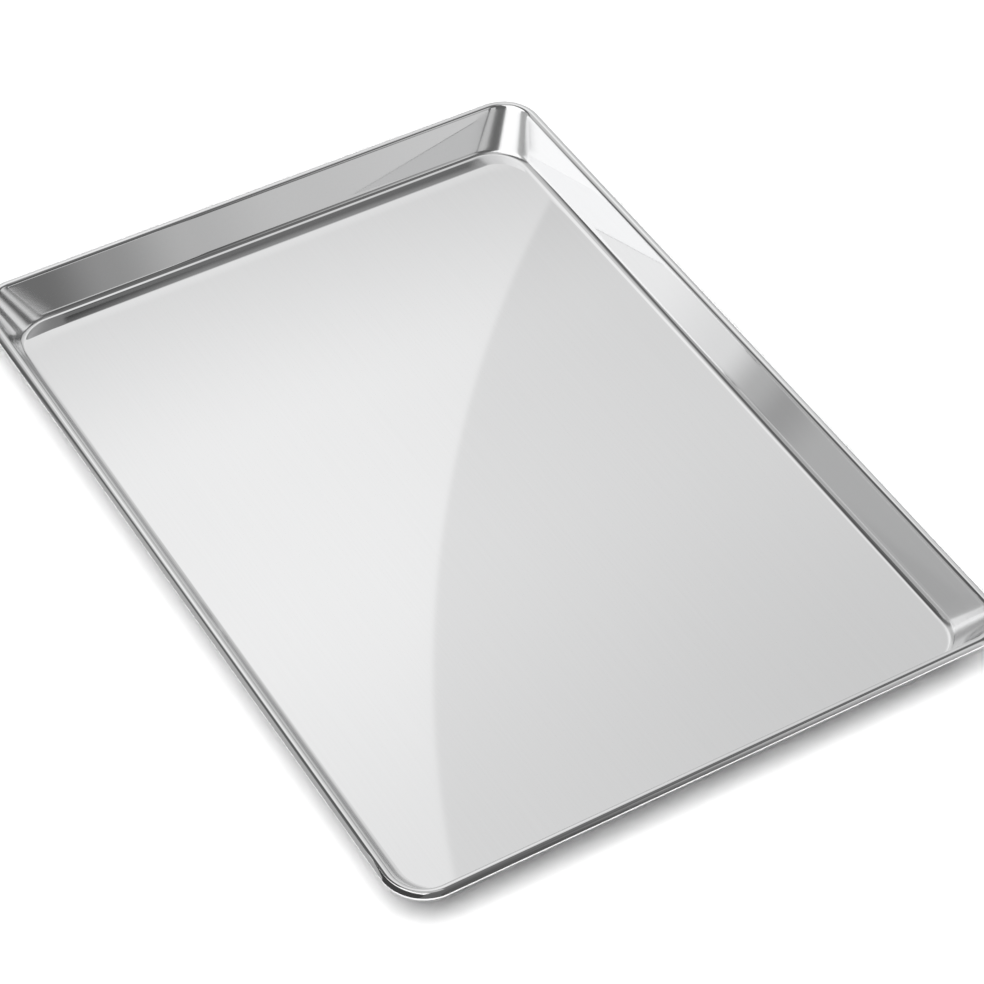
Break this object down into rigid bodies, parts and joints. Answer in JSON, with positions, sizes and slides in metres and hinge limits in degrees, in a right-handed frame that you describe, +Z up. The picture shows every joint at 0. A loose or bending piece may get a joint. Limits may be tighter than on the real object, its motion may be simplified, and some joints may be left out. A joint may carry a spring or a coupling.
{
  "type": "cookie sheet",
  "caption": "Rimmed rectangular baking sheet pressed from bright aluminium, with flared walls, round corners and a rolled bead over a steel wire.",
  "frame": {"origin": "middle of the flat underside, on the surface that the pan stands on", "axes": "+X along the long sides, +Y along the short sides, +Z up out of the tray"},
  "size_m": [0.4572, 0.3302, 0.0229],
  "materials": {
    "bright_aluminium": "bright rolled, near mirror",
    "galvanised_wire": "galvanised, satin"
  },
  "bodies": {
    "root": {"pan_sheet": "bright_aluminium", "rim_wire": "galvanised_wire"}
  },
  "joints": []
}
